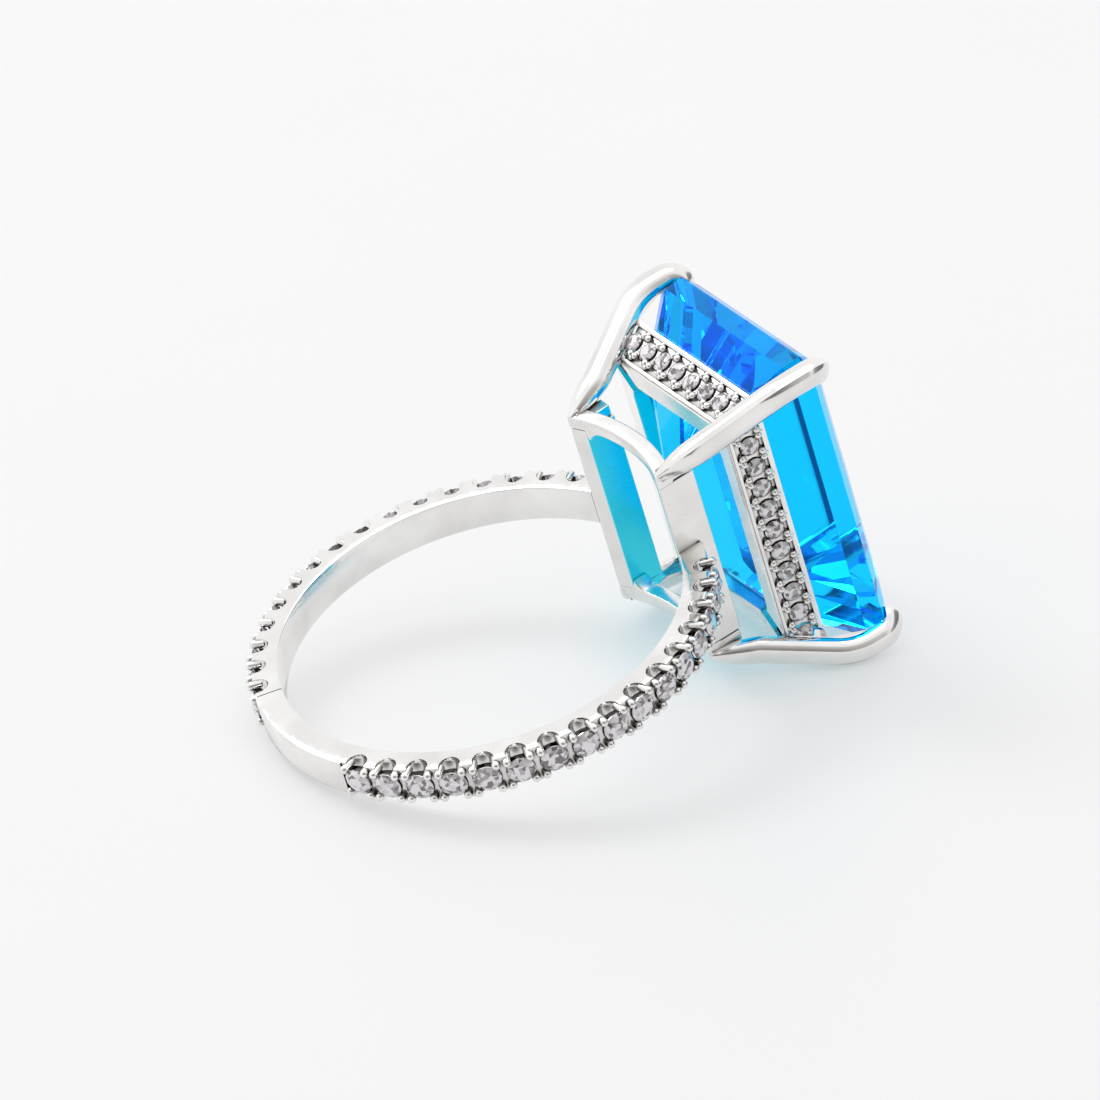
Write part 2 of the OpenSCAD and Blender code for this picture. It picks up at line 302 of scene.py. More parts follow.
def piece(name, mesh, material, nodes, sharp=radians(32), bevel=0.0, place=None):
    """Puts a shape drawn in mm into the frame, in place of its CAD nodes."""
    if place is not None:
        bmesh.ops.transform(mesh, matrix=place, verts=mesh.verts)
    bmesh.ops.recalc_face_normals(mesh, faces=mesh.faces)
    bmesh.ops.transform(mesh, matrix=TO_FRAME, verts=mesh.verts)
    made = mesh_object(mesh, name)
    for face in made.data.polygons:
        face.use_smooth = True
    if sharp is not None:
        made.data.set_sharp_from_angle(angle=sharp)
    made.data.materials.append(material)
    if bevel:
        soft = made.modifiers.new("soft_edges", "BEVEL")
        soft.width, soft.segments, soft.limit_method = bevel * MM, 2, "ANGLE"
        soft.angle_limit, soft.harden_normals = radians(35), True
    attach(made, "root")
    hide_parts(*nodes)
    return made


# ---- Materials ------------------------------------------------------------------

def start_material(name):
    """A new material with its node tree, its output and one shader."""
    material = bpy.data.materials.new(name)
    material.use_nodes = True
    tree = material.node_tree
    tree.nodes.clear()
    output = tree.nodes.new("ShaderNodeOutputMaterial")
    shader = tree.nodes.new("ShaderNodeBsdfPrincipled")
    tree.links.new(shader.outputs["BSDF"], output.inputs["Surface"])
    return material, tree, shader, output


def noise(tree, scale, detail=3.0, stretch=None):
    """Noise in the piece's own space, with features of about 1 / scale metres."""
    place = tree.nodes.new("ShaderNodeTexCoord").outputs["Object"]
    if stretch:
        mapping = tree.nodes.new("ShaderNodeMapping")
        mapping.inputs["Scale"].default_value = stretch
        tree.links.new(place, mapping.inputs["Vector"])
        place = mapping.outputs["Vector"]
    texture = tree.nodes.new("ShaderNodeTexNoise")
    texture.inputs["Scale"].default_value = scale
    texture.inputs["Detail"].default_value = detail
    tree.links.new(place, texture.inputs["Vector"])
    return texture.outputs["Fac"]


def spread(tree, value, low, high, start=0.3, end=0.7):
    """Maps noise to a range of values."""
    node = tree.nodes.new("ShaderNodeMapRange")
    node.inputs["From Min"].default_value, node.inputs["From Max"].default_value = start, end
    node.inputs["To Min"].default_value, node.inputs["To Max"].default_value = low, high
    tree.links.new(value, node.inputs["Value"])
    return node.outputs["Result"]


def bump(tree, shader, value, height):
    node = tree.nodes.new("ShaderNodeBump")
    node.inputs["Distance"].default_value = height * MM
    node.inputs["Strength"].default_value = 1.0
    tree.links.new(value, node.inputs["Height"])
    tree.links.new(node.outputs["Normal"], shader.inputs["Normal"])


def blend_colours(tree, value, one, other):
    node = tree.nodes.new("ShaderNodeMix")
    node.data_type = "RGBA"
    node.inputs["A"].default_value = (*one, 1)
    node.inputs["B"].default_value = (*other, 1)
    tree.links.new(value, node.inputs["Factor"])
    return node.outputs["Result"]


# Strengths of the painted light that the centre stone throws on the walls and of its own painted glow,
# and the depth of the colour that deepens inside it
WALL_LIGHT = 0.42
WALL_TINT = 0.92
GEM_GLOW = 0.07
GEM_DEPTH = 420.0


def stone_light(tree):
    """Strength of the painted light from the centre stone on the walls facing it."""
    place = tree.nodes.new("ShaderNodeTexCoord")

    def vector_step(operation, one, other):
        node = tree.nodes.new("ShaderNodeVectorMath")
        node.operation = operation
        for value, entry in ((one, node.inputs[0]), (other, node.inputs[1])):
            if isinstance(value, Vector):
                entry.default_value = value
            else:
                tree.links.new(value, entry)
        return node
    away = vector_step("MULTIPLY", place.outputs["Object"], Vector((0, 1, 0)))
    facing = vector_step("DOT_PRODUCT", away.outputs["Vector"], place.outputs["Normal"])
    wall = -WINDOW_Y * MM
    return spread(tree, facing.outputs["Value"], WALL_TINT, 0.0, 0.9 * wall, 0.5 * wall)


def metal(name, rough, wave, scratch, recess, shade_range=(0.15, 0.75), grain=2600.0, lit=False):
    """Polished silver-coloured metal: a cloudy tone that varies at random, whose darker
    patches are also a painted reflection, fine wheel marks, a slight waviness, and
    painted shade in the recesses, darker where ambient occlusion finds them hidden.
    Wave and recess are in mm, and rough and the painted shade's range are each the
    two ends of a range. A lit metal also shows painted light from the centre stone
    on the walls that face it: a teal base colour and a faint glow."""
    made = bpy.data.materials.get(name)
    if made:
        return made
    colours = bpy.context.scene.ring_colours
    made, tree, shader, _ = start_material(name)
    shader.inputs["Metallic"].default_value = 1.0
    # Cloudy tone that varies at random; its darker patches are also a painted reflection of the
    # surroundings
    cloud = spread(tree, noise(tree, 420.0), 0.0, 1.0)
    open_metal = blend_colours(tree, cloud, colours.metal, colours.metal_tone_and_reflection)
    # Painted shade: ambient occlusion darkens the metal towards the recess colour in corners, scallops
    # and hollows
    shade_reach = tree.nodes.new("ShaderNodeAmbientOcclusion")
    shade_reach.samples = 8
    shade_reach.inputs["Distance"].default_value = recess * MM
    shade_mix = tree.nodes.new("ShaderNodeMix")
    shade_mix.data_type = "RGBA"
    shade_mix.inputs["A"].default_value = (*colours.recess, 1)
    tree.links.new(open_metal, shade_mix.inputs["B"])
    tree.links.new(spread(tree, shade_reach.outputs["AO"], 0.0, 1.0, *shade_range), shade_mix.inputs["Factor"])
    last = shade_mix.outputs["Result"]
    # Painted light from the centre stone: a teal base colour and a faint glow on the walls that face it
    if lit:
        glow = tree.nodes.new("ShaderNodeMix")
        glow.data_type = "RGBA"
        glow.inputs["B"].default_value = (*colours.lit_wall, 1)
        tree.links.new(last, glow.inputs["A"])
        light = stone_light(tree)
        tree.links.new(light, glow.inputs["Factor"])
        last = glow.outputs["Result"]
        painted_glow = tree.nodes.new("ShaderNodeMath")
        painted_glow.operation = "MULTIPLY"
        painted_glow.inputs[1].default_value = WALL_LIGHT
        tree.links.new(light, painted_glow.inputs[0])
        tree.links.new(painted_glow.outputs["Value"], shader.inputs["Emission Strength"])
        shader.inputs["Emission Color"].default_value = (*colours.wall_light, 1)
    tree.links.new(last, shader.inputs["Base Color"])
    marks = noise(tree, grain, 4.0, (1.0, 1.0, 5.0))
    tree.links.new(spread(tree, marks, *rough), shader.inputs["Roughness"])
    low = noise(tree, 620.0, 2.0)
    both = tree.nodes.new("ShaderNodeMath")
    both.operation = "MULTIPLY_ADD"
    tree.links.new(marks, both.inputs[0])
    both.inputs[1].default_value = scratch
    tree.links.new(low, both.inputs[2])
    bump(tree, shader, both.outputs["Value"], wave)
    return made


def polished_metal():
    return metal("mirror_polish", rough=(0.04, 0.11), wave=0.006, scratch=0.06, recess=0.4)


def shank_metal():
    return metal("shank_polish", rough=(0.05, 0.13), wave=0.006, scratch=0.08, recess=0.6,
                 shade_range=(0.3, 0.85))


def satin_metal():
    return metal("satin_polish", rough=(0.2, 0.28), wave=0.004, scratch=0.03, recess=0.2, lit=True)


def bright_cut_metal():
    return metal("bright_cut", rough=(0.05, 0.16), wave=0.014, scratch=0.2, recess=0.4,
                 shade_range=(0.25, 0.8), grain=5200.0)


def blue_glass():
    """Clear azure glass, whose colour deepens with the way light takes through it, and which also gives
    off a faint painted glow.
    """
    made = bpy.data.materials.get("azure_glass")
    if made:
        return made
    colours = bpy.context.scene.ring_colours
    made, tree, shader, output = start_material("azure_glass")
    shader.inputs["Transmission Weight"].default_value = 1.0
    shader.inputs["IOR"].default_value = 1.5
    cloud = spread(tree, noise(tree, 260.0), 0.0, 1.0)
    faint = [c * 0.97 for c in colours.gem]
    tree.links.new(blend_colours(tree, cloud, colours.gem, faint), shader.inputs["Base Color"])
    shader.inputs["Roughness"].default_value = 0.0
    shader.inputs["Specular Tint"].default_value = (*colours.gem_sheen, 1)
    # Painted glow: a faint light of the stone's own, standing in for light held inside it
    shader.inputs["Emission Color"].default_value = (*colours.gem_glow, 1)
    shader.inputs["Emission Strength"].default_value = GEM_GLOW
    body = tree.nodes.new("ShaderNodeVolumeAbsorption")
    body.inputs["Color"].default_value = (*colours.gem_body, 1)
    body.inputs["Density"].default_value = GEM_DEPTH
    tree.links.new(body.outputs["Volume"], output.inputs["Volume"])
    return made


def clear_glass():
    """Bright colourless crystal, with painted light and dark facets that stand in for the flashes of
    its inner facets.
    """
    made = bpy.data.materials.get("clear_crystal")
    if made:
        return made
    made, tree, shader, _ = start_material("clear_crystal")
    shader.inputs["Transmission Weight"].default_value = 0.3
    shader.inputs["Metallic"].default_value = 0.3
    shader.inputs["IOR"].default_value = 2.4
    colours = bpy.context.scene.ring_colours
    # Painted reflection: each facet, found from its normal, gets a bright or a dark tone at random,
    # standing in for a cut stone's flashes
    shards = tree.nodes.new("ShaderNodeTexVoronoi")
    shards.inputs["Scale"].default_value = 4200.0
    shift = tree.nodes.new("ShaderNodeVectorMath")
    shift.operation = "MULTIPLY_ADD"
    tree.links.new(tree.nodes.new("ShaderNodeNewGeometry").outputs["True Normal"], shift.inputs[0])
    shift.inputs[1].default_value = [0.5 * MM] * 3
    tree.links.new(tree.nodes.new("ShaderNodeTexCoord").outputs["Object"], shift.inputs[2])
    tree.links.new(shift.outputs["Vector"], shards.inputs["Vector"])
    tone = spread(tree, shards.outputs["Color"], 0.0, 1.0, 0.26, 0.52)
    flashes = blend_colours(tree, tone, colours.clear_dark, colours.clear)
    tree.links.new(flashes, shader.inputs["Base Color"])
    tree.links.new(spread(tree, noise(tree, 2400.0), 0.0, 0.03), shader.inputs["Roughness"])
    return made


# ---- Camera and studio ------------------------------------------------------------

class RING_OT_camera(Operator):
    """Place the camera"""
    bl_idname = "ring.camera"
    bl_label = "Camera"

    def execute(self, context):
        studio = context.scene.ring_studio
        azimuth, elevation = studio.azimuth, studio.elevation
        back = Vector((sin(azimuth) * cos(elevation), -cos(azimuth) * cos(elevation), sin(elevation)))
        level = Vector((cos(azimuth), sin(azimuth), 0))
        turn = Matrix((level, back.cross(level), back)).transposed().to_4x4()
        turn = turn @ Matrix.Rotation(studio.roll, 4, "Z")
        data = bpy.data.cameras.new("ring_camera")
        data.lens = studio.lens
        data.sensor_width = 36
        data.clip_start, data.clip_end = 0.01, 10
        camera = bpy.data.objects.new("ring_camera", data)
        camera.matrix_world = Matrix.Translation(Vector(studio.aim) + back * studio.distance) @ turn
        context.scene.collection.objects.link(camera)
        context.scene.camera = camera
        return {"FINISHED"}


# The floor, in metres: its glow fades from near the ring to far away
FLOOR_R = 1.6
FLOOR_RINGS = 24
FLOOR_SEGMENTS = 96
FLOOR_GLOW = 0.53
FAR_GLOW = FLOOR_GLOW * 0.8
NEAR_R, FAR_R = 0.055, 0.5

# The painted light that the stone throws on the floor, a tinted patch of the floor's glow, in mm
PATCH_BACK = 2.0
PATCH_CORE = 1.5
PATCH_R = 7.5


def floor_material():
    made, tree, shader, _ = start_material("studio_floor")
    tone = bpy.context.scene.ring_studio.floor
    cloud = spread(tree, noise(tree, 9.0), 0.0, 1.0)
    faint = [c * 0.985 for c in tone]
    tree.links.new(blend_colours(tree, cloud, tone, faint), shader.inputs["Base Color"])
    away = tree.nodes.new("ShaderNodeVectorMath")
    away.operation = "LENGTH"
    tree.links.new(tree.nodes.new("ShaderNodeTexCoord").outputs["Object"], away.inputs[0])
    glow = spread(tree, away.outputs["Value"], FLOOR_GLOW, FAR_GLOW, NEAR_R, FAR_R)
    tree.links.new(glow, shader.inputs["Emission Strength"])
    # Painted light: the floor's glow is tinted with the stone's colour under the head, standing in for
    # the light that the stone throws
    under = tree.nodes.new("ShaderNodeVectorMath")
    under.operation = "DISTANCE"
    tree.links.new(tree.nodes.new("ShaderNodeTexCoord").outputs["Object"], under.inputs[0])
    middle = (GEM_LOW.x + GEM_HIGH.x) / 2 - PATCH_BACK
    under.inputs[1].default_value = TO_FRAME @ Vector((middle, 0, -GEM_HIGH.z))
    patch = spread(tree, under.outputs["Value"], 1.0, 0.0, PATCH_CORE * MM, PATCH_R * MM)
    tint = bpy.context.scene.ring_studio.patch
    tree.links.new(blend_colours(tree, patch, (1.0, 1.0, 1.0), tint), shader.inputs["Emission Color"])
    tree.links.new(spread(tree, noise(tree, 60.0), 0.42, 0.5), shader.inputs["Roughness"])
    shader.inputs["Specular IOR Level"].default_value = 0.25
    return made


def soft_box(name, place, size, power):
    """A square area light at a place, facing the ring."""
    data = bpy.data.lights.new(name, "AREA")
    data.shape, data.size, data.energy = "SQUARE", size, power
    light = bpy.data.objects.new(name, data)
    light.location = place
    light.rotation_mode = "QUATERNION"
    light.rotation_quaternion = (-Vector(place)).to_track_quat("-Z", "Y")
    bpy.context.scene.collection.objects.link(light)


def studio_sky():
    """A white tent, greyer towards the front and towards the stone's side."""
    world = bpy.data.worlds.new("studio_tent")
    world.use_nodes = True
    tree = world.node_tree
    tree.nodes.clear()
    output = tree.nodes.new("ShaderNodeOutputWorld")
    background = tree.nodes.new("ShaderNodeBackground")
    tree.links.new(background.outputs["Background"], output.inputs["Surface"])
    direction = tree.nodes.new("ShaderNodeTexCoord").outputs["Generated"]

    def along(axis):
        dot = tree.nodes.new("ShaderNodeVectorMath")
        dot.operation = "DOT_PRODUCT"
        tree.links.new(direction, dot.inputs[0])
        dot.inputs[1].default_value = Vector(axis).normalized()
        return dot.outputs["Value"]

    def ramp(value, stops):
        node = tree.nodes.new("ShaderNodeValToRGB")
        scale = tree.nodes.new("ShaderNodeMapRange")
        scale.inputs["From Min"].default_value = -1
        tree.links.new(value, scale.inputs["Value"])
        tree.links.new(scale.outputs["Result"], node.inputs["Fac"])
        node.color_ramp.interpolation = "EASE"
        points = node.color_ramp.elements
        while len(points) < len(stops):
            points.new(0.5)
        for point, (at, tone) in zip(points, stops):
            point.position = (at + 1) / 2
            point.color = (*tone, 1)
        return node.outputs["Color"]

    def product(one, other):
        node = tree.nodes.new("ShaderNodeMix")
        node.data_type, node.blend_type = "RGBA", "MULTIPLY"
        node.inputs["Factor"].default_value = 1.0
        tree.links.new(one, node.inputs["A"])
        tree.links.new(other, node.inputs["B"])
        return node.outputs["Result"]

    white = (1.0, 1.0, 1.0)
    warm_grey, warm_dark = (0.50, 0.485, 0.47), (0.22, 0.21, 0.20)
    cool_grey, cool_dark = (0.32, 0.32, 0.33), (0.20, 0.20, 0.21)
    front = ramp(along((-0.46, -0.80, 0.10)),
                 [(-1, white), (0.45, white), (0.75, warm_grey), (1, warm_dark)])
    side = ramp(along((0.95, -0.30, 0.05)),
                [(-1, white), (0.70, white), (0.86, cool_grey), (1, cool_dark)])
    tree.links.new(product(front, side), background.inputs["Color"])
    background.inputs["Strength"].default_value = 1.0
    bpy.context.scene.world = world


class RING_OT_studio(Operator):
    """Build the floor, the tent and the lights"""
    bl_idname = "ring.studio"
    bl_label = "Studio"

    def execute(self, context):
        mesh = bmesh.new()
        rows = []
        level = CAD_BOX[0].z - 0.002 * MM
        turns = [2 * pi * j / FLOOR_SEGMENTS for j in range(FLOOR_SEGMENTS)]
        for i in range(1, FLOOR_RINGS + 1):
            r = FLOOR_R * (i / FLOOR_RINGS) ** 2
            rows.append([mesh.verts.new((r * cos(turn), r * sin(turn), level)) for turn in turns])
        mesh.faces.new(rows[0])
        for near, far in zip(rows, rows[1:]):
            for j in range(FLOOR_SEGMENTS):
                k = (j + 1) % FLOOR_SEGMENTS
                mesh.faces.new((near[j], far[j], far[k], near[k]))
        floor = mesh_object(mesh, "studio_floor")
        floor.data.materials.append(floor_material())
        studio_sky()
        soft_box("key_light", (-0.16, 0.34, 0.42), 0.24, 1.3)
        soft_box("top_light", (0.05, 0.12, 0.60), 0.5, 0.6)
        context.scene.view_settings.view_transform = "Standard"
        paths = context.scene.cycles
        paths.max_bounces = paths.transmission_bounces = 40
        paths.glossy_bounces = 12
        return {"FINISHED"}


# ---- Shank --------------------------------------------------------------------------

# Radii of the plain and of the stone-set stretches, and of their polished-over edges
PLAIN_R = 9.85
WALL_R = 9.78
PLAIN_HALF = SHANK_HALF - 0.02
EDGE_R = 0.07
PLAIN_EDGE_R = 0.09
STONE_STEP = radians(8.37)
SHANK_STONE_R = 0.6
SHANK_GIRDLE_R = 9.86
# Seat of a shank stone, as (radius, distance from the bore's axis)
SHANK_SEAT = ((0.1, 9.1), (0.3, 9.25), (0.62, 9.52), (0.62, 10.4))
# A scallop's centre, depth and open top, as distances from the bore's axis
SCALLOP_AT, SCALLOP_DEEP, SCALLOP_TOP = 9.62, 0.5, 10.4
# A prong's foot, its shift along the shank from its stone, and its inset from the edge
PRONG_FOOT, PRONG_SHIFT, PRONG_INSET = 9.4, 0.5, 0.09


def shank_angles():
    """Angles round the bore of the back row of shank stones, from the head on."""
    return sorted(atan2(p.y, p.x) for p in stone_middles("shank_stones_back"))


def band(mesh, outer, half, start, end, steps, edge):
    """Adds a stretch of the band between two angles, rounded at its four edges."""
    section = round_rectangle(BORE_R, outer, -half, half, edge, 2)
    rings = []
    for i in range(steps + 1):
        a = start + (end - start) * i / steps
        rings.append([(r * cos(a), r * sin(a), z) for r, z in section])
    loft(mesh, rings)


def head_block():
    """The space of the head, which the shank's ends stop at."""
    block = bmesh.new()
    y = BASE_Y - 0.01
    loft(block, [[(0, -y, z), (15, -y, z), (15, y, z), (0, y, z)] for z in (-3, 3)])
    return block


class RING_OT_shank(Operator):
    """Build the shank, with its scalloped edges and prongs"""
    bl_idname = "ring.shank"
    bl_label = "Shank"

    def execute(self, context):
        sizes = context.scene.ring_metalwork
        scallop = sizes.scallop_r / MM
        prong, top = sizes.prong_r / MM, sizes.prong_top / MM
        angles = shank_angles()
        shoulder = angles[-1] + STONE_STEP / 2
        hidden_end = radians(2.0)
        start = asin(BASE_Y / BORE_R) - hidden_end
        prong_z = SHANK_HALF - prong - PRONG_INSET
        scallop_profile = [(scallop * sin(t), SCALLOP_AT - SCALLOP_DEEP * cos(t))
                           for t in (0.1, 0.4, 0.8, 1.2, pi / 2)] + [(scallop, SCALLOP_TOP)]
        mesh = bmesh.new()
        for s in (-1, 1):
            side = bmesh.new()
            band(side, WALL_R, SHANK_HALF, s * start, s * shoulder, 160, EDGE_R)
            seats, cuts = bmesh.new(), bmesh.new()
            for a in angles:
                turned(seats, SHANK_SEAT, radial(s * a, 0), 24)
                for edge in (-1, 1):
                    turned(cuts, scallop_profile, radial(s * a, 0, edge * SHANK_HALF), 24)
            side = subtract(side, seats)
            side = subtract(side, cuts)
            side = subtract(side, head_block())
            join(mesh, side)
            # Prongs: four round every stone, shared out in pairs along each edge
            for a in angles:
                for step in (-1, 1):
                    at = s * (a + step * PRONG_SHIFT / SET_R)
                    for edge in (-1, 1):
                        turned(mesh, dome(prong, PRONG_FOOT, top), radial(at, 0, edge * prong_z), 14)
        band(mesh, PLAIN_R, PLAIN_HALF, shoulder, 2 * pi - shoulder, 60, PLAIN_EDGE_R)
        piece("ring_shank", mesh, shank_metal(), ["shank"])
        return {"FINISHED"}


# ---- Small round stones -----------------------------------------------------------------

# Rings of corners of a round brilliant, as (radius, height) in girdle radii
TABLE = (0.56, 0.33)
STAR = (0.79, 0.21)
GIRDLE_TOP = (1, 0.04)
GIRDLE_BASE = (1, -0.04)
LOWER = (0.24, -0.66)
CULET = (0.03, -0.86)


def brilliant(mesh, place, r):
    """Adds a round brilliant with its girdle at the origin and its table towards +Z."""
    def ring(share, count, offset=0.0):
        wide, height = r * share[0], r * share[1]
        turns = [2 * pi * (i + offset) / count for i in range(count)]
        return [mesh.verts.new(place @ Vector((wide * cos(t), wide * sin(t), height))) for t in turns]
    table, star = ring(TABLE, 8), ring(STAR, 8, 0.5)
    girdle, under = ring(GIRDLE_TOP, 16), ring(GIRDLE_BASE, 16)
    lower, culet = ring(LOWER, 8, 0.5), ring(CULET, 8)
    mesh.faces.new(table)
    mesh.faces.new(culet[::-1])
    for i in range(8):
        j, g = (i + 1) % 8, [(2 * i + k) % 16 for k in range(3)]
        mesh.faces.new((table[i], star[i], table[j]))
        mesh.faces.new((table[i], star[i - 1], girdle[g[0]], star[i]))
        mesh.faces.new((star[i], girdle[g[0]], girdle[g[1]]))
        mesh.faces.new((star[i], girdle[g[1]], girdle[g[2]]))
        mesh.faces.new((lower[i], under[g[1]], under[g[0]]))
        mesh.faces.new((lower[i], under[g[2]], under[g[1]]))
        mesh.faces.new((lower[i - 1], lower[i], under[g[0]]))
        mesh.faces.new((lower[i], lower[i - 1], culet[i]))
        mesh.faces.new((lower[i], culet[i], culet[j]))
    for i in range(16):
        j = (i + 1) % 16
        mesh.faces.new((girdle[i], under[i], under[j], girdle[j]))


class RING_OT_shank_stones(Operator):
    """Build the two rows of round stones on the shank"""
    bl_idname = "ring.shank_stones"
    bl_label = "Shank stones"

    def execute(self, context):
        for s, side in ((-1, "front"), (1, "back")):
            mesh = bmesh.new()
            for i, a in enumerate(shank_angles()):
                place = radial(s * a, SHANK_GIRDLE_R) @ Matrix.Rotation(0.35 * i, 4, "Z")
                brilliant(mesh, place, SHANK_STONE_R)
            piece(f"shank_brilliants_{side}", mesh, clear_glass(),
                  [f"shank_stones_{side}"], sharp=FACETED)
        return {"FINISHED"}


# ---- Base rail ------------------------------------------------------------------------------

class RING_OT_base_rail(Operator):
    """Build the base rail: two side cheeks and the two arches over the finger"""
    bl_idname = "ring.base_rail"
    bl_label = "Base rail"

    def execute(self, context):
        edge = context.scene.ring_metalwork.edge / MM
        for s, side in ((-1, "front"), (1, "back")):
            mesh = bmesh.new()
            arc = [(sqrt(BORE_R ** 2 - y * y), y)
                   for y in (WINDOW_Y + (BASE_Y - WINDOW_Y) * i / 6 for i in range(7))]
            outline = arc + [(CHEEK_X, BASE_Y), (CHEEK_X, WINDOW_Y)]
            loft(mesh, [[(x, s * y, z) for x, y in outline] for z in (-WINDOW_Z, WINDOW_Z)])
            # Blocks that close the corners between the cheek, the arches and the claws
            block_x = CHEEK_X - 0.06
            block = arc + [(block_x, BASE_Y - 0.02), (block_x, WINDOW_Y + 0.1)]
            for end in (-1, 1):
                ends = (end * (WINDOW_Z + 0.06), end * (BASE_Z - 0.12))
                loft(mesh, [[(x, s * y, z) for x, y in block] for z in ends])
            piece(f"side_cheek_{side}", mesh, satin_metal(),
                  [f"cheek_{side}"], bevel=edge)
        corner = 0.8
        for s, side in ((1, "upper"), (-1, "lower")):
            mesh = bmesh.new()
            rings = []
            columns = 48
            for i in range(columns + 1):
                y = -BASE_Y + 2 * BASE_Y * i / columns
                # The window's corners are rounded by the arch's inner edge
                over = abs(y) - (WINDOW_Y - corner)
                inner = WINDOW_Z
                if 0 < over <= corner:
                    inner = WINDOW_Z - (corner - sqrt(corner ** 2 - over ** 2))
                section = round_rectangle(inner, BASE_Z, BORE_R, ARCH_R, 0.10)
                rings.append([(sqrt(r * r - y * y), y, s * z) for z, r in section])
            loft(mesh, rings)
            piece(f"arch_{side}", mesh, satin_metal(), [f"finger_arch_{side}"])
        return {"FINISHED"}


# ---- Gallery --------------------------------------------------------------------------------

def halves(side):
    """Half sizes of the base rail, across a side and along it."""
    return (BASE_Y, BASE_Z) if side in ("back", "front") else (BASE_Z, BASE_Y)


def mitred(point, side):
    """A point of a side, kept between the two claws' planes."""
    across, along = halves(side)
    x, y, z = point
    limit = y + along - across - MITRE
    return (x, y, max(-limit, min(limit, z)))


class RING_OT_seat_rail(Operator):
    """Build the seat rail, whose rounded window takes the centre stone"""
    bl_idname = "ring.seat_rail"
    bl_label = "Seat rail"

    def execute(self, context):
        low, high = SEAT_LOW.x, SEAT_HIGH.x
        for side, turn in SIDES.items():
            long_side = side in ("back", "front")
            bar, other = (LONG_BAR, SHORT_BAR) if long_side else (SHORT_BAR, LONG_BAR)
            across, along = halves(side)
            outer, inner, end = across + SEAT_OVER, across + SEAT_OVER - bar, along + SEAT_OVER - other
            lip = outer + STRIP_T - 0.04
            r = SEAT_CORNER
            mesh = bmesh.new()
            rings = []
            steps = 40
            last = end - r * 0.5
            # Beyond the last step a bar runs straight on to the claws' planes
            beyond = 99 * last
            for z in [-beyond] + [last * i / steps for i in range(-steps, steps + 1)] + [beyond]:
                over = min(max(abs(z) - (end - r), 0), r * 0.5)
                edge = inner - r + sqrt(r * r - over * over)
                section = [(edge, high), (edge, low + 0.05), (edge + 0.05, low), (lip - 0.05, low),
                           (lip, low + 0.05), (lip, low + STRIP_LIFT), (outer, low + STRIP_LIFT + 0.06),
                           (outer, high)]
                rings.append([mitred((x, y, z), side) for y, x in section])
            loft(mesh, rings)
            piece(f"stone_seat_{side}", mesh, satin_metal(),
                  [f"seat_rail_{side}"], place=turn)
        return {"FINISHED"}


def strip_frame(side):
    """Places a strip's own axes: X up its outer face, Y out of it, Z along it."""
    across = halves(side)[0]
    out = across + SEAT_OVER + STRIP_T + 0.02
    return Matrix.Translation((SEAT_LOW.x + STRIP_LIFT, out, 0)) @ Matrix.Rotation(LEANS[side], 4, "Z")


def strip_places(side):
    """Places along a strip of its stones, from the CAD frame."""
    turn = (SIDES[side] @ strip_frame(side)).inverted()
    return sorted((turn @ p).z for p in stone_middles(f"gallery_stones_{side}"))


def strip_bar(mesh, side, x0, x1, y0, y1, r):
    """Adds a bar along a strip, cut off at the claws' planes."""
    place = strip_frame(side)
    back = place.inverted()
    section = round_rectangle(x0, x1, y0, y1, r, 2)
    steps = 24
    along = halves(side)[1] + 2
    rings = []
    for i in range(steps + 1):
        z = along * (2 * i / steps - 1)
        rings.append([back @ Vector(mitred(place @ Vector((x, y, z)), side)) for x, y in section])
    # Rings beyond the ends all fall on the same plane, so only the last of them is kept
    kept = [rings[0]]
    for ring in rings[1:]:
        moved = max((Vector(a) - Vector(b)).length for a, b in zip(ring, kept[-1]))
        if moved > 0.3 or ring is rings[-1]:
            kept.append(ring)
    loft(mesh, kept)


def on_strip(x, y, z):
    """Places +Z out of a strip's face, at a place in the strip's own axes."""
    return Matrix.Translation((x, y, z)) @ Matrix.Rotation(-pi / 2, 4, "X")


# Sizes of the strips, in mm: the channel between the rims, and the rims' widths
CHANNEL = 0.12
BASE_RIM, TOP_RIM, RIM_RISE = 0.13, 0.22, 0.01
GALLERY_STONE_R = 0.435
# Seat of a gallery stone, as (radius, height over the strip's face)
GALLERY_SEAT = ((0.1, -0.37), (0.3, -0.34), (0.48, -0.12), (0.48, 0.5))


class RING_OT_gallery_strips(Operator):
    """Build the four gallery strips, with rims, seats and beads"""
    bl_idname = "ring.gallery_strips"
    bl_label = "Gallery strips"

    def execute(self, context):
        bead = context.scene.ring_metalwork.bead_r / MM
        for side, turn in SIDES.items():
            h = STRIP_RISE / cos(LEANS[side])
            places = strip_places(side)
            plate, holes = bmesh.new(), bmesh.new()
            strip_bar(plate, side, 0.0, h, -STRIP_T, -CHANNEL, 0.03)
            for z in places:
                turned(holes, GALLERY_SEAT, on_strip(h / 2, 0, z), 24)
            mesh = subtract(plate, holes)
            strip_bar(mesh, side, -RIM_RISE, BASE_RIM, -STRIP_T, 0.03, 0.035)
            strip_bar(mesh, side, h - TOP_RIM, h + RIM_RISE, -STRIP_T, 0.03, 0.035)
            big, small = dome(bead, -0.2, 0.16), dome(bead * 0.75, -0.2, 0.09)
            for near, far in zip(places, places[1:]):
                middle = (near + far) / 2
                for step in (-1, 1):
                    for slide, out, shape in ((-0.15, 0.46, big), (0.15, 0.46, big), (0, 0.60, small)):
                        turned(mesh, shape, on_strip(h / 2 + step * out, 0, middle + slide), 12)
            piece(f"strip_{side}", mesh, bright_cut_metal(),
                  [f"gallery_strip_{side}"], place=turn @ strip_frame(side))
        return {"FINISHED"}


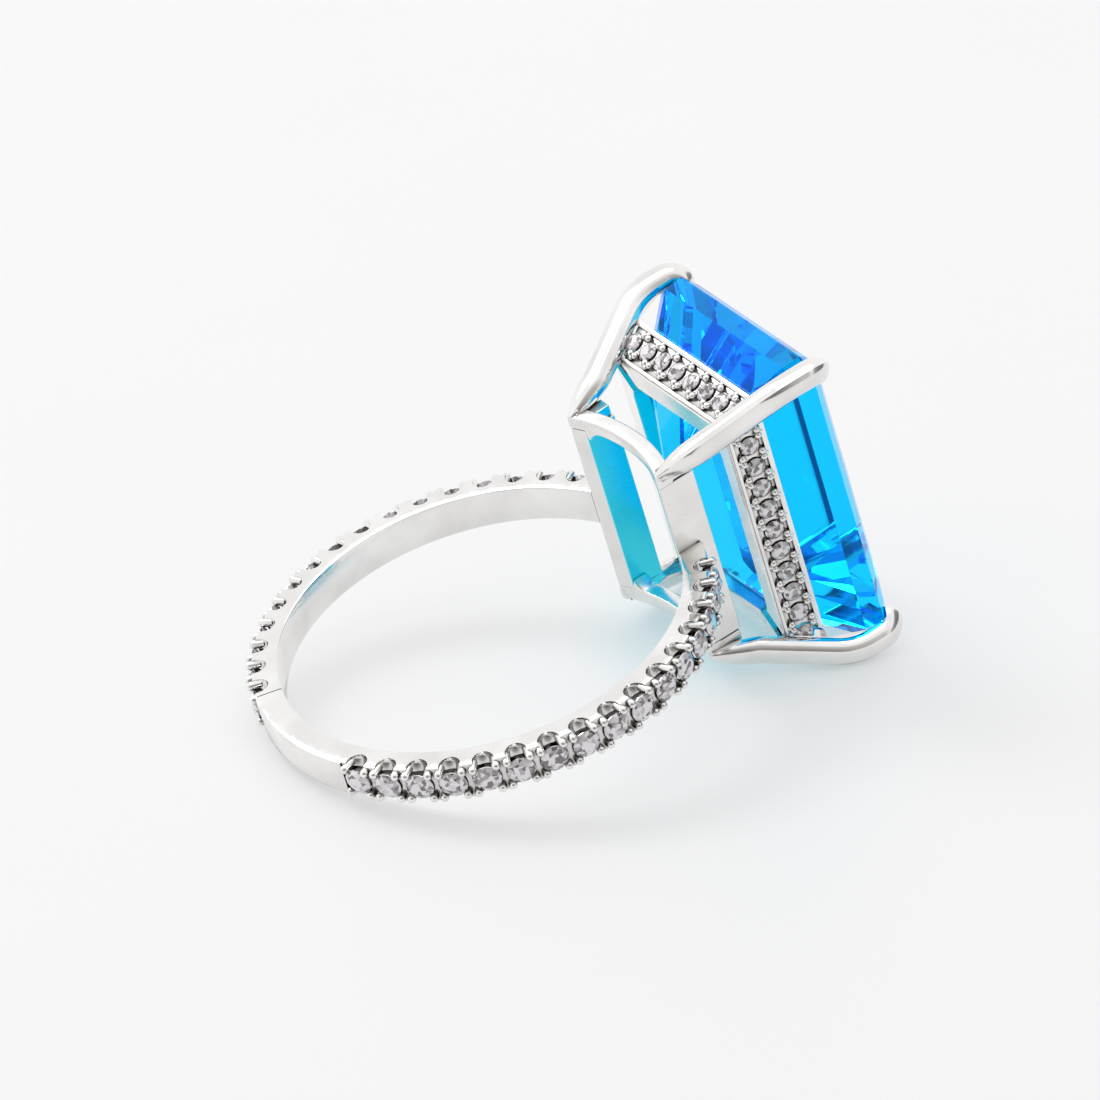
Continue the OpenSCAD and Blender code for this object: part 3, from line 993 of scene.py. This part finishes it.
class RING_OT_gallery_stones(Operator):
    """Build the rows of round stones on the gallery strips"""
    bl_idname = "ring.gallery_stones"
    bl_label = "Gallery stones"

    def execute(self, context):
        for side, turn in SIDES.items():
            h = STRIP_RISE / cos(LEANS[side])
            mesh = bmesh.new()
            for i, z in enumerate(strip_places(side)):
                place = on_strip(h / 2, -0.05, z) @ Matrix.Rotation(0.4 * i, 4, "Z")
                brilliant(mesh, place, GALLERY_STONE_R)
            piece(f"gallery_brilliants_{side}", mesh, clear_glass(),
                  [f"gallery_stones_{side}"], sharp=FACETED, place=turn @ strip_frame(side))
        return {"FINISHED"}


# ---- Claws --------------------------------------------------------------------------------

# Sizes of a claw in its own plane: it rises from its foot along a straight shin,
# bends level at the stone's girdle and hooks over the crown
CLAW_R = 0.575
FOOT_R = 0.2
SHIN = 1.8
FLARE = radians(32.5)
BEND_R = 3.0
HOOK_R = 0.8
HOOK_TURN = radians(65)
WEB_T = 0.6
GEM_CORNER = 0.65
GIRDLE_X = GEM_HIGH.x - 0.85
STEP_X = GIRDLE_X - 0.85
GEM_REACH = (GEM_HIGH.y + GEM_HIGH.z - GEM_CORNER - BASE_Y - BASE_Z) / sqrt(2)
CLAW_REACH = GEM_REACH + 0.52
HOOK_X = BORE_R + 6.23
SHIN_STEPS = 9
RISE_STEPS = 8


def claw_line():
    """Middle line of a claw's bar in its own plane, as (point, direction, radius)."""
    foot = Vector((sqrt(BORE_R ** 2 - BASE_Y ** 2) + CLAW_R * sin(FLARE) - 0.1,
                   CLAW_R - FOOT_R - CLAW_R * cos(FLARE)))
    shin = Vector((foot.x + SHIN, SHIN * sin(FLARE) / cos(FLARE) - CLAW_R * cos(FLARE)))
    bend_d = CLAW_REACH - BEND_R * (1 - cos(FLARE))
    bend = Vector((shin.x + (bend_d - shin.y) * cos(FLARE) / sin(FLARE), bend_d))
    line = []
    start = (shin - foot).normalized()
    flared = Vector((cos(FLARE), sin(FLARE)))
    for i in range(SHIN_STEPS):
        t = i / SHIN_STEPS
        line.append((foot.lerp(shin, t), start.lerp(flared, t * t).normalized(),
                     FOOT_R + (CLAW_R - FOOT_R) * (t * (2 - t))))
    for i in range(RISE_STEPS):
        line.append((shin.lerp(bend, i / RISE_STEPS), flared, CLAW_R))
    for i in range(10):
        turn = FLARE * (1 - i / 10)
        line.append((bend + BEND_R * Vector((sin(FLARE) - sin(turn), cos(turn) - cos(FLARE))),
                     Vector((cos(turn), sin(turn))), CLAW_R))
    knee = bend + BEND_R * Vector((sin(FLARE), 1 - cos(FLARE)))
    for i in range(4):
        line.append((knee.lerp(Vector((HOOK_X, CLAW_REACH)), i / 4), Vector((1, 0)), CLAW_R))
    for i in range(9):
        turn = HOOK_TURN * i / 8
        line.append((Vector((HOOK_X + HOOK_R * sin(turn), CLAW_REACH - HOOK_R * (1 - cos(turn)))),
                     Vector((cos(turn), -sin(turn))), CLAW_R * (1 - 0.04 * i / 8)))
    return line


def claw_section(radius, width):
    """Section of a claw: a soft ridge outside and a flatter inner side, as (out, across)."""
    points = []
    count = 28
    for i in range(count):
        t = 2 * pi * i / count
        out, across = cos(t), sin(t)
        power = 1.5 if out > 0 else 2.6
        scale = (abs(out) ** power + abs(across) ** power) ** (-1 / power)
        points.append((radius * out * scale, width * across * scale))
    return points


class RING_OT_claws(Operator):
    """Build the four claws, each a ridged bar with a plate behind it"""
    bl_idname = "ring.claws"
    bl_label = "Claws"

    def execute(self, context):
        half = context.scene.ring_metalwork.claw_w / MM / 2
        line = claw_line()
        rings = []

        def add(point, way, radius, share=1.0):
            """Adds a section of the bar across its way, shrunk near a rounded end."""
            out = Vector((-way.y, way.x))
            width = radius / CLAW_R * half
            rings.append([(point.x + o * share * out.x, point.y + o * share * out.y, a * share)
                          for o, a in claw_section(radius, width)])
        point, way, radius = line[0]
        for i in range(4):
            t = pi / 2 * (0.12 + 0.88 * i / 4)
            add(point - way * radius * cos(t), way, radius, sin(t))
        for point, way, radius in line:
            add(point, way, radius)
        point, way, radius = line[-1]
        for i in range(1, 7):
            t = pi / 2 * min(i / 6, 0.96)
            add(point + way * radius * sin(t), way, radius, cos(t))
        # The notch takes the stone's corner, with a little room all round
        room = 0.02
        top = GEM_REACH + room
        seat = [(STEP_X - 0.3, 0), (STEP_X - 0.3, top), (GIRDLE_X + room, top),
                (GEM_HIGH.x + room, top - 1.43), (GEM_HIGH.x + room, 0)]
        foot, bend = line[0][0], line[SHIN_STEPS + RISE_STEPS][0]
        # The plate runs from the foot up behind the bar and under the stone's corner
        plate = [(foot.x, foot.y), (bend.x, bend.y), (HOOK_X, CLAW_REACH),
                 (GIRDLE_X + 0.3, CLAW_REACH), (GIRDLE_X + 0.05, top), (STEP_X, top),
                 (SEAT_LOW.x + STRIP_LIFT + STRIP_RISE, GEM_REACH - 0.55), (SEAT_HIGH.x, 1.1),
                 (SEAT_LOW.x, 0.75), (CHEEK_X - 0.35, 0)]
        corners = ((-1, 1, "upper_front"), (1, 1, "upper_back"),
                   (-1, -1, "lower_front"), (1, -1, "lower_back"))
        for sy, sz, name in corners:
            bar, notch = bmesh.new(), bmesh.new()
            loft(bar, rings)
            loft(notch, [[(x, d, a) for x, d in seat] for a in (-3, 3)])
            mesh, web = subtract(bar, notch), bmesh.new()
            loft(web, [[(x, d, a) for x, d in plate] for a in (-WEB_T / 2, WEB_T / 2)])
            turn = 90 - 45 * sy if sz > 0 else 270 + 45 * sy
            place = Matrix.Translation((0, sy * BASE_Y, sz * BASE_Z))
            place = place @ Matrix.Rotation(radians(turn), 4, "X")
            bores = [bmesh.new(), bmesh.new()]
            for bore in bores:
                turned(bore, [(BORE_R, -9), (BORE_R, 9)], place.inverted(), 180)
            mesh = subtract(mesh, bores[0])
            join(mesh, subtract(web, bores[1]))
            piece(f"claw_bar_{name}", mesh, polished_metal(),
                  [f"claw_{name}"], place=place)
        return {"FINISHED"}


# ---- Centre stone ---------------------------------------------------------------------------

class RING_OT_centre_stone(Operator):
    """Build the step-cut centre stone"""
    bl_idname = "ring.centre_stone"
    bl_label = "Centre stone"

    def execute(self, context):
        half_y, half_z = GEM_HIGH.y, GEM_HIGH.z
        bearing_x = STEP_X - 2.34

        def slice_at(x, in_y, in_z, corner):
            """A cut-cornered rectangle, set in from the girdle's sides and ends."""
            w, l = half_y - in_y, half_z - in_z
            return [(x, w, l - corner), (x, w - corner, l), (x, corner - w, l), (x, -w, l - corner),
                    (x, -w, corner - l), (x, corner - w, -l), (x, w - corner, -l), (x, w, corner - l)]
        mesh = bmesh.new()
        loft(mesh, [
            slice_at(GEM_LOW.x, half_y - 0.03, half_z - 1.5, 0.01),
            slice_at(bearing_x, 1.75, 1.9, 0.39),
            slice_at(STEP_X, 0.06, 0.06, 0.64),
            slice_at(GIRDLE_X - 0.04, 0.0, 0.0, GEM_CORNER),
            slice_at(GIRDLE_X + 0.04, 0.0, 0.0, GEM_CORNER),
            slice_at(GIRDLE_X + 0.5, 0.5, 0.5, 0.58),
            slice_at(GEM_HIGH.x, 1.1, 1.1, 0.49)])
        piece("step_cut_stone", mesh, blue_glass(), ["centre_stone"], sharp=FACETED)
        return {"FINISHED"}


# ---- Panel and main ---------------------------------------------------------------------------

OPERATORS = (
    RING_OT_camera, RING_OT_studio, RING_OT_shank, RING_OT_shank_stones, RING_OT_base_rail,
    RING_OT_seat_rail, RING_OT_gallery_strips, RING_OT_gallery_stones, RING_OT_claws,
    RING_OT_centre_stone)


class RING_PT_panel(Panel):
    """Sizes, colours and the parts of the ring"""
    bl_idname = "RING_PT_panel"
    bl_label = "Cocktail Ring"
    bl_space_type = "VIEW_3D"
    bl_region_type = "UI"
    bl_category = "Ring"

    def draw(self, context):
        scene = context.scene
        for group in (scene.ring_metalwork, scene.ring_colours, scene.ring_studio):
            column = self.layout.column(align=True)
            for name in group.__annotations__:
                column.prop(group, name)
        for operator in OPERATORS:
            self.layout.operator(operator.bl_idname)


CLASSES = (RingMetalwork, RingColours, RingStudio) + OPERATORS + (RING_PT_panel,)


def register():
    for kind in CLASSES:
        bpy.utils.register_class(kind)
    bpy.types.Scene.ring_metalwork = PointerProperty(type=RingMetalwork)
    bpy.types.Scene.ring_colours = PointerProperty(type=RingColours)
    bpy.types.Scene.ring_studio = PointerProperty(type=RingStudio)


def unregister():
    del bpy.types.Scene.ring_studio
    del bpy.types.Scene.ring_colours
    del bpy.types.Scene.ring_metalwork
    for kind in reversed(CLASSES):
        bpy.utils.unregister_class(kind)


def main():
    register()
    bpy.ops.ring.camera()
    bpy.ops.ring.studio()
    bpy.ops.ring.shank()
    bpy.ops.ring.shank_stones()
    bpy.ops.ring.base_rail()
    bpy.ops.ring.seat_rail()
    bpy.ops.ring.gallery_strips()
    bpy.ops.ring.gallery_stones()
    bpy.ops.ring.claws()
    bpy.ops.ring.centre_stone()


if __name__ == "__main__":
    main()
